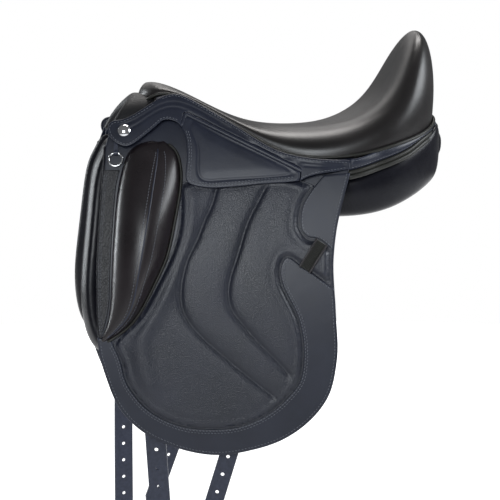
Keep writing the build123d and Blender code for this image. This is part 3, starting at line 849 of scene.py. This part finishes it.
def make_pad(side_name):
    """The soft grained insert of the flap, pressed down along its edge and along two long channels."""
    side = SIDES[side_name]
    outline = loop(PAD_FRONT, PAD_GAP, [PAD_GAP[-1], PAD_GAP_TOP[0]], PAD_GAP_TOP, PAD_BACK, PAD_TOP,
                   step=2.5)
    a, b, ridge = (curve(line, 3.0) for line in (GROOVE_A, GROOVE_B, RIDGE_FRONT))

    def top(pq, d):
        swell = smooth(d, 3.0, 22.0)
        neck = bell(pq[:, 0] - 88, 30) * bell(pq[:, 1] + 2, 26)
        height = PAD_RIM + 3.2 * smooth(d, 2.4, 7.0) + 1.4 * swell
        height = height + 1.3 * bell(d - 7.6, 2.6) - 0.9 * bell(d - 2.6, 1.5)
        height = height + 1.6 * neck * smooth(d, 1, 8)
        height = height + 3.2 * bell(distance(pq, ridge), 13) * swell
        da, db = distance(pq, a), distance(pq, b)
        channels = 2.6 * bell(da, 3.2) + 1.3 * bell(da, 11) + 2.6 * bell(db, 3.2) + 1.3 * bell(db, 11)
        height = height - swell * channels
        below_skirt = smooth(pq[:, 1], 84, 96)
        height = height * (1 - below_skirt) + np.minimum(height, 8.6) * below_skirt
        return np.where(d < 0.01, PAD_RIM, height)

    pad = plate(f"flap_pad_{side_name}", outline, top, level(1.6), 0.8, GRAIN_LEATHER, side,
                step=3.2, finer=[a, b])
    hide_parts(f"flap_pad_{side_name}")
    bend_with_flap(pad, side_name)


def make_keeper(side_name):
    """The ribbed elastic between the two facings, with a rolled edge on each side: (elastic, edges)."""
    side = SIDES[side_name]
    middle = even([(88, 27), (66, -8)], 1.2)
    along = np.array([22.0, 35.0])
    along /= np.linalg.norm(along)
    aside = np.array([along[1], -along[0]])
    half = aside * 8
    corners = [middle[0] + half, middle[-1] + half, middle[-1] - half, middle[0] - half]
    outline = even(np.vstack([corners, corners[:1]]), 1.0, closed=True)

    def hump(run):
        return 1.6 * bell(run - 20, 16)

    def ribs(pq, d):
        offset, run = (pq - middle[0]) @ aside, (pq - middle[0]) @ along
        rail = 0.9 * bell(np.abs(offset) - 6.2, 1.3)
        crown = 2.4 * (1 - (offset / 8.5) ** 2) + hump(run)
        return 8.8 + crown + 0.5 * np.cos(run * 2 * pi / 2.2) * (np.abs(offset) < 4.6) + rail

    bars = Batch()
    run = np.linalg.norm(middle - middle[0], axis=1)
    for shift in (-7.6, 7.6):
        bars.add(*tube_points(on_sheet(middle + aside * shift, 10.0 + hump(run)), 1.5, sides=10))
    rails = bars.make(f"keeper_edges_{side_name}", BLOCK_LEATHER, "strap_leather", side)
    keeper = plate(f"keeper_elastic_{side_name}", outline, ribs, level(5.0), 0.8, ELASTIC, side,
                   step=0.8)
    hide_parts(f"keeper_strap_{side_name}")
    return keeper, rails


def make_flap_bands(side_name):
    """The two smooth facings sewn over the flap's edge, the keeper between them, and the stitching."""
    side = SIDES[side_name]
    lower_out = [(-208.6, -100)] + FLAP_EDGE[6:23] + [(104.4, -34)]
    outline = loop(lower_out, [(104.4, -34), (90, -24), (73, -12), (57, -1.6)], BAND_LOWER_IN,
                   [BAND_LOWER_IN[-1], lower_out[0]], step=2.5)
    lower = plate(f"flap_lower_facing_{side_name}", outline, level(LOWER_FACE), level(1.9), 1.1,
                  STRAP_LEATHER, side, step=4.0)
    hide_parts(f"flap_lower_band_{side_name}")
    upper_out = [(104.6, 15), (109, 48), (117, 83), (126, 117)]
    outline = loop([(71, 33), (83, 31), (93, 25), (104.6, 15)], upper_out, [upper_out[-1], (91, 114)],
                   [(91, 114), (80, 101), (70.4, 88), (63, 74), (60.4, 58), (62.4, 42), (71, 33)], step=2.5)
    upper = plate(f"flap_upper_facing_{side_name}", outline, level(UPPER_FACE), level(1.9), 1.1,
                  STRAP_LEATHER, side, step=4.0)
    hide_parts(f"flap_upper_band_{side_name}")
    keeper, rails = make_keeper(side_name)

    batch = Batch()
    sheet_stitches(batch, beside(curve(lower_out, 2.0), 4.0)[2:-2], LOWER_FACE)
    inner = curve(BAND_LOWER_IN, 2.0)
    for shift in (2.2, 5.0):
        sheet_stitches(batch, beside(inner, shift)[1:-2], LOWER_FACE)
    for line, shift in (
        (upper_out, 4.0),
        ([(71, 34), (62.4, 44), (60.6, 58), (63, 74), (70.4, 88), (80, 102)], -2.2),
        ([(75, 33), (84, 31), (93, 25), (102, 17)], 2.4),
    ):
        sheet_stitches(batch, beside(curve(line, 2.0), shift), UPPER_FACE)
    sheet_stitches(batch, beside(even([(60, -3.5), (73, -12), (90, -24), (102, -33)], 2.0), -2.4), LOWER_FACE)
    sheet_stitches(batch, even([(-98, 96), (-99, 45)], 2.0), 3.6)
    sheet_stitches(batch, curve([(-114, 0), (-132, -36), (-154, -72)], 2.0), 3.6)
    stitches = batch.make(f"flap_stitching_{side_name}", THREAD_GREY, "strap_leather", side)
    for piece in (lower, upper, keeper, rails, stitches):
        bend_with_flap(piece, side_name)


def tail_drop(p):
    """How much the skirt's band thins towards its rear end."""
    return 7.6 * smooth(p, 84, 127)


def skirt_heights(panel, lines):
    """The face of the skirt and its band: a raised inner panel, and pressed lines round it and elsewhere."""
    def top(pq, d):
        dp = distance(pq, panel, True)
        height = SKIRT_FACE - 0.9 * bell(dp, 1.6) + np.where(inside(pq, panel), 0.7 * smooth(dp, 1, 14), 0.0)
        for line in lines:
            height = height - 0.7 * bell(distance(pq, line), 1.3)
        return height - tail_drop(pq[:, 0])
    return top


def make_skirt(side_name):
    """The small flap over the stirrup bar, the band that it hangs from, and their stitching.

    The two leave a gap along the fold, and a flattened roll of leather on the band's side fills it.
    """
    side = SIDES[side_name]
    skirt_gap, band_gap = 2.9, 3.4
    fold = np.array([(p, fold_q(p)) for p in np.linspace(-95, 62, 40)])
    panel = loop(SKIRT_PANEL, [SKIRT_PANEL[-1], (40, 125)], [(40, 125), (-5, 146), (-60, 172), (-85, 186)],
                 step=2.0)
    low = curve(SKIRT_LOW, 1.6)
    outline = even(np.vstack([low, [(59.4, 117.6)], fold[::-1][1:-1] - [0, skirt_gap], [(-95.6, 190.6)],
                              low[:1]]), 1.6, closed=True)
    skirt = plate(f"skirt_leather_{side_name}", outline, skirt_heights(panel, []), level(SKIRT_UNDER), 1.3,
                  STRAP_LEATHER, side, step=2.6, finer=[panel])
    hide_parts(f"skirt_{side_name}")
    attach(skirt, f"skirt_{side_name}_body")
    seam = even(np.vstack([[(-99.4, 180), (-97.2, 190), (-95.4, 193.8)], fold[1:]]), 2.5)
    roll = tube(f"skirt_fold_piping_{side_name}", on_sheet(seam, 11.7), 3.1, STRAP_LEATHER, "strap_leather",
                side, sides=14, flat=0.6, up=out_of_sheet(seam[:, 1]))
    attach(roll, ROOT)

    batch = Batch()
    sheet_stitches(batch, beside(low, 3.2)[3:-2], SKIRT_FACE)
    sheet_stitches(batch, beside(low, 6.0)[4:-3], SKIRT_FACE)
    thread = batch.make(f"skirt_stitching_{side_name}", THREAD_GREY, "strap_leather", side)
    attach(thread, f"skirt_{side_name}_body")

    tail, top_line, finger = (curve(line, 2.0) for line in (TAIL, BAND_TOP, FINGER))
    outline = even(np.vstack([finger, [(-101.2, 178.6), (-98.0, 196.4)], fold[1:-1] + [0, band_gap],
                              [(60.3, 123.2)], tail, top_line, finger[:1]]), 1.6, closed=True)
    creases = [curve(line, 3.0) for line in CREASES]

    def under(pq, d):
        return SKIRT_UNDER - 6.6 * smooth(d, 2.0, 10.0)

    band = plate(f"skirt_band_leather_{side_name}", outline, skirt_heights(panel, creases), under, 1.3,
                 STRAP_LEATHER, side, step=2.6, finer=creases)
    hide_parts(f"skirt_band_{side_name}")
    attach(band, ROOT)
    batch = Batch()
    sheet_stitches(batch, beside(finger, 3.0)[3:-2], SKIRT_FACE)
    for line in (tail, top_line):
        sheet_stitches(batch, beside(line, 2.6)[1:-1], lambda pq: SKIRT_FACE - tail_drop(pq[:, 0]))
    thread = batch.make(f"band_stitching_{side_name}", THREAD_GREY, "strap_leather", side)
    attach(thread, ROOT)


def make_gusset(side_name):
    """The leather of the band, turned in over the side of the tree and sewn under the seat's rim."""
    top = curve([(134, 131)] + BAND_TOP, 3.0)
    out = on_sheet(top, np.interp(top[:, 0], [88, 127], [10.6, 5.0]))
    order = np.argsort(seat_rim[:, 0])
    inner = np.column_stack([np.interp(out[:, 0], seat_rim[order, 0], seat_rim[order, k]) for k in (1, 2)])
    inner = np.column_stack([out[:, 0], -(inner[:, 0] - 5), inner[:, 1] - 3])
    rows = [out * (1 - t) + inner * t for t in np.linspace(0, 1, 7)]
    rows += [out * (1 - t) + inner * t - [0, 0, 3] for t in np.linspace(1, 0, 7)]
    gusset = shell(f"band_gusset_{side_name}", rows, STRAP_LEATHER, SIDES[side_name])
    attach(gusset, ROOT)


GRIP_OUT = [
    (-203.6, 120), (-205, 96), (-206, 73), (-208.4, 24), (-209.4, -33), (-207.8, -83), (-205.4, -106),
]
GRIP_IN = [
    (-182, 120), (-185.6, 104), (-187.6, 84), (-189.6, 50), (-191.6, 10), (-192.6, -30), (-194.6, -64),
    (-202, -94),
]


def make_grip(side_name):
    """The rough grip strip ahead of the block, and the piping along the flap's front edge."""
    side = SIDES[side_name]
    outline = loop(GRIP_OUT, [GRIP_OUT[-1], GRIP_IN[-1]], GRIP_IN[::-1], [GRIP_IN[0], GRIP_OUT[0]], step=2.0)
    strip = plate(f"grip_strip_{side_name}", outline, level(GRIP_FACE), level(1.6), 0.8, GRIP,
                  side, step=1.8)
    bend_with_flap(strip, side_name)
    batch = Batch()
    for line, shift in ((GRIP_OUT, 1.6), (GRIP_OUT, 4.4), (GRIP_IN, -1.6)):
        sheet_stitches(batch, beside(curve(line, 2.0), shift)[2:-4], GRIP_FACE)
    stitches = batch.make(f"grip_stitching_{side_name}", THREAD_GREY, "strap_leather", side)
    bend_with_flap(stitches, side_name)
    edge = on_sheet(curve([(-203.6, 150)] + GRIP_OUT, 3.0), 1.2)
    roll = tube(f"flap_front_piping_{side_name}", edge, 1.7, PANEL_LEATHER, "strap_leather", side)
    bend_with_flap(roll, side_name)


# The block's two feet and its crest, (p, q), and the crest's height, each from the top down.
BLOCK_LEFT = [
    (-140, 158.5), (-158, 154), (-171, 143), (-179, 122), (-185, 88), (-188, 50), (-190, 10), (-191, -30),
    (-193, -64), (-198, -88), (-206, -106),
]
BLOCK_CREST = [
    (-132, 157), (-131, 143), (-132, 123), (-135, 97), (-138, 71), (-142, 45), (-146, 18), (-151, -12),
    (-157, -44), (-170, -74), (-204, -107),
]
BLOCK_RIGHT = [
    (-124, 158), (-110, 147), (-103, 130), (-101, 106), (-105, 74), (-111, 40), (-119, 6), (-132, -24),
    (-148, -56), (-168, -84), (-202, -108),
]
BLOCK_HEIGHT = [3.0, 21.0, 30.0, 37.0, 41.0, 42.0, 41.0, 38.0, 31.0, 19.0, 3.0]
BLOCK_FOOT = 2.3
FULLNESS_FRONT = 2.0        # powers of the two faces' rounding; a lower one is flatter
FULLNESS_REAR = 1.7


def make_block(side_name):
    """The external thigh block: a long rounded bolster with a seam down its crest and a steep rear face."""
    side = SIDES[side_name]
    rows, half = 90, 22
    columns = 2 * half - 1
    left, crest, right = (curve(line, count=rows) for line in (BLOCK_LEFT, BLOCK_CREST, BLOCK_RIGHT))
    height = cubic(np.linspace(0, 1, len(BLOCK_HEIGHT)), BLOCK_HEIGHT, np.linspace(0, 1, rows))
    points = []
    for i in range(rows):
        tall = height[i] - BLOCK_FOOT
        for t in np.sin(np.linspace(0, pi / 2, half)):
            rise = (1 - (1 - t) ** FULLNESS_FRONT) ** (1 / FULLNESS_FRONT)
            points.append((*(left[i] + (crest[i] - left[i]) * t), BLOCK_FOOT + tall * rise))
        for t in np.cos(np.linspace(pi / 2, 0, half))[1:]:
            rise = (1 - t ** FULLNESS_REAR) ** (1 / FULLNESS_REAR)
            points.append((*(crest[i] + (right[i] - crest[i]) * t), BLOCK_FOOT + tall * rise))
    points = np.array(points)
    top = on_sheet(points[:, :2], points[:, 2])
    base = on_sheet(points[:, :2], 2.1)
    count = len(points)
    grid = grid_faces(rows, columns)
    rim = ([(0, j) for j in range(columns)] + [(i, columns - 1) for i in range(1, rows)]
           + [(rows - 1, j) for j in range(columns - 2, -1, -1)] + [(i, 0) for i in range(rows - 2, 0, -1)])
    rim = [i * columns + j for i, j in rim]
    faces = grid + [tuple(count + i for i in f) for f in grid]
    faces += [(a, b, b + count, a + count) for a, b in zip(rim, rim[1:] + rim[:1])]
    block = make(f"thigh_block_{side_name}", np.vstack([top, base]), faces, BLOCK_LEATHER,
                 side=side)
    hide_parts(f"thigh_block_{side_name}")

    ridge = on_sheet(crest, height)[3:-4] - out_of_sheet(crest[3:-4, 1]) * 0.5
    seam = tube(f"block_seam_{side_name}", ridge, 1.1, STRAP_LEATHER, "strap_leather", side, sides=8)
    batch = Batch()
    grid = top.reshape(rows, columns, 3)
    for j in (half - 7, half + 5):
        line = grid[4:-6, j]
        ups = np.cross(grid[4:-6, j + 1] - grid[4:-6, j - 1], np.gradient(line, axis=0))
        ups /= np.linalg.norm(ups, axis=1)[:, None]
        ups *= np.sign(ups @ AXIS_N)[:, None]
        stitch_row(batch, line, ups)
    thread = batch.make(f"block_stitching_{side_name}", THREAD_GREY, "strap_leather", side)
    foot = on_sheet(curve(BLOCK_RIGHT, 2.5)[3:-3] + [1.6, -0.6], 4.2)
    piping = tube(f"block_piping_{side_name}", foot, 1.9, PIPING, "piping", side)
    for piece in (block, seam, thread, piping):
        bend_with_flap(piece, side_name)


WING_MIDDLE = -28.4         # where the wing's middle lies, and half its thickness
WING_HALF = 13.6


def make_wing(side_name):
    """The front of the cushion: a flat pad with a full roll along its front edge."""
    side = SIDES[side_name]
    outline = curve(WING_EDGE, 3.0, closed=True)
    front = curve(WING_EDGE[:10], 3.0)

    def thick(d):
        return WING_HALF * np.sqrt(np.maximum(1 - (1 - np.clip(d / 15, 0, 1)) ** 2, 0))

    def top(pq, d):
        roll = 6.5 * bell(distance(pq, front) - 14, 13) * smooth(-pq[:, 0], 150, 185)
        valley = 2.6 * bell(distance(pq, front) - 36, 7) * smooth(d, 4, 16)
        return WING_MIDDLE + thick(d) + roll * smooth(d, 0, 12) - valley

    def bottom(pq, d):
        return WING_MIDDLE - thick(d)

    wing = plate(f"panel_wing_{side_name}", outline, top, bottom, 0.5, PANEL_LEATHER, side,
                 step=4.0, finer=[inset(outline, 4.0), inset(outline, 8.0)])
    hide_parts(f"panel_wing_{side_name}")
    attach(wing, ROOT)


# Sections of the cushion: x, its outer edge, then the low and high of the outer side and of the inner side.
PANEL_STATIONS = [
    (-180, 60, 122, 138, 128, 142),
    (-166, 72, 100, 148, 112, 156),
    (-110, 84, 80, 140, 96, 152),
    (-40, 98, 66, 118, 84, 134),
    (40, 116, 57, 102, 76, 120),
    (110, 129, 56, 116, 72, 126),
    (165, 125, 64, 132, 78, 140),
    (210, 107, 82, 154, 92, 157),
    (240, 84, 100, 170, 106, 168),
    (256, 62, 120, 176, 122, 172),
    (262, 46, 138, 166, 138, 164),
]
GULLET = 32.5               # half the width of the channel between the cushions


def make_panel(side_name):
    """One bearing cushion: full and round, widest under the seat."""
    rows, columns = 110, 48
    data = np.array(PANEL_STATIONS, float)
    knots = np.r_[0, np.cumsum(np.abs(np.diff(data[:, 0])) ** 0.8)]
    data = cubic(knots, data, np.linspace(0, knots[-1], rows))
    rings = []
    for x, outer, outer_low, outer_high, inner_low, inner_high in data:
        middle, off = (GULLET + outer) / 2, (outer - GULLET) * 0.16
        section = [
            (GULLET, (inner_low + inner_high) / 2), (GULLET + off, inner_low + 3),
            (middle, (inner_low + outer_low) / 2 - 3), (outer - off, outer_low + 1),
            (outer, outer_low * 0.55 + outer_high * 0.45), (outer - off * 0.4, outer_high - 3),
            (middle, (inner_high + outer_high) / 2 + 1), (GULLET + off, inner_high - 2),
        ]
        ring = curve(section, closed=True, count=columns)
        rings.append(np.column_stack([np.full(columns, sheared(x, 0.8 * outer)), -ring[:, 0], ring[:, 1]]))
    points = np.array(rings).reshape(-1, 3)
    faces = grid_faces(rows, columns, wrap_columns=True)
    for end, shift in ((0, -3.0), (rows - 1, 3.0)):
        centre = rings[end].mean(0)
        first = len(points)
        lid = centre + (rings[end] - centre) * 0.72 + [shift, 0, 0]
        points = np.vstack([points, lid, [centre + [shift * 1.5, 0, 0]]])
        for j in range(columns):
            k = (j + 1) % columns
            faces.append((end * columns + j, end * columns + k, first + k, first + j))
            faces.append((first + j, first + k, first + columns))
    panel = make(f"panel_cushion_{side_name}", points, faces, PANEL_LEATHER,
                 side=SIDES[side_name])
    smoother = panel.modifiers.new("smooth", "SUBSURF")
    smoother.levels = smoother.render_levels = 1
    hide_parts(f"panel_{side_name}")
    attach(panel, ROOT)


for side_name in SIDES:
    for make_piece in (make_flap, make_pad, make_flap_bands, make_skirt, make_gusset, make_block, make_grip,
                       make_wing, make_panel):
        make_piece(side_name)


# ------------------------------------------------------------------ floor, lights and camera
FLOOR_Z = -0.445
FLOOR_RADIUS = 2.4
AIM = (-0.0119, 0.0017, 0.0)
AZIMUTH = radians(-8.0)
ELEVATION = radians(6.0)
CAMERA_DISTANCE = 2.6
LENS = 132.9
COOL = (0.92, 0.965, 1.0)
WARM = (1.0, 0.97, 0.95)


def make_floor():
    """A round white floor with a painted glow: its emission rises from 0.12 at the front to 1.0 at the back,
    so it brightens towards the back, into the white surround.
    """
    corners = 96
    mesh = bpy.data.meshes.new("floor")
    rim = [(FLOOR_RADIUS * cos(a), FLOOR_RADIUS * sin(a), FLOOR_Z)
           for a in np.linspace(0, 2 * pi, corners, endpoint=False)]
    mesh.from_pydata(rim, [], [tuple(range(corners))])
    floor = bpy.data.objects.new("floor", mesh)
    bpy.context.scene.collection.objects.link(floor)
    material, tree, shader, where = nodes_of("floor")
    depth = node(tree, "ShaderNodeSeparateXYZ", {0: where}).outputs["Y"]
    feed(tree, shader, {
        "Base Color": mix(tree, noise(tree, where, 2.0), rgb(0.88, 0.88, 0.88), rgb(0.92, 0.92, 0.92)),
        # painted glow: the floor gives off white light, stronger towards the back
        "Roughness": 0.9, "Emission Color": rgb(1, 1, 1),
        "Emission Strength": spread(tree, depth, -0.3, 1.6, 0.12, 1.0),
    })
    mesh.materials.append(material)


def make_surround():
    """A dim sky for the lighting. The camera itself sees white paper behind the saddle."""
    world = bpy.data.worlds.new("studio")
    world.use_nodes = True
    tree = world.node_tree
    sky = tree.nodes["Background"]
    feed(tree, sky, {"Color": (0.96, 0.98, 1.0, 1), "Strength": 0.16})
    paper = node(tree, "ShaderNodeBackground", {"Color": rgb(1, 1, 1)})
    seen = node(tree, "ShaderNodeLightPath").outputs["Is Camera Ray"]
    choose = node(tree, "ShaderNodeMixShader", {0: seen, 1: sky.outputs[0], 2: paper.outputs[0]})
    feed(tree, tree.nodes["World Output"], {0: choose.outputs[0]})
    bpy.context.scene.world = world


def area_light(name, where, target, size, power, colour):
    data = bpy.data.lights.new(name, "AREA")
    data.shape = "RECTANGLE"
    data.size, data.size_y = size
    data.energy = power
    data.color = colour
    light = bpy.data.objects.new(name, data)
    light.location = where
    light.rotation_euler = (Vector(target) - Vector(where)).to_track_quat("-Z", "Y").to_euler()
    bpy.context.scene.collection.objects.link(light)


def make_camera():
    data = bpy.data.cameras.new("camera")
    data.lens = LENS
    data.sensor_width = 36.0
    camera = bpy.data.objects.new("camera", data)
    back = Vector((sin(AZIMUTH) * cos(ELEVATION), -cos(AZIMUTH) * cos(ELEVATION), sin(ELEVATION)))
    camera.location = back * CAMERA_DISTANCE + Vector(AIM)
    camera.rotation_euler = (-back).to_track_quat("-Z", "Y").to_euler()
    bpy.context.scene.collection.objects.link(camera)
    bpy.context.scene.camera = camera


make_floor()
make_surround()
area_light("front", (-0.9, -2.6, 0.95), (0, 0, 0), (1.0, 0.8), 37, COOL)
area_light("top", (0.35, 1.1, 2.2), (0.05, 0, 0), (1.3, 0.8), 28, WARM)
area_light("left_strip", (-2.0, 1.4, 0.6), (0, -0.1, 0), (0.4, 1.6), 26, COOL)
area_light("right_wide", (2.2, -0.6, 1.2), (0.1, 0, 0.1), (1.7, 1.1), 58, COOL)
area_light("back", (-0.4, 2.3, 1.6), (0, 0, 0), (2.0, 1.0), 7, WARM)
make_camera()
bpy.context.scene.view_settings.view_transform = "Standard"
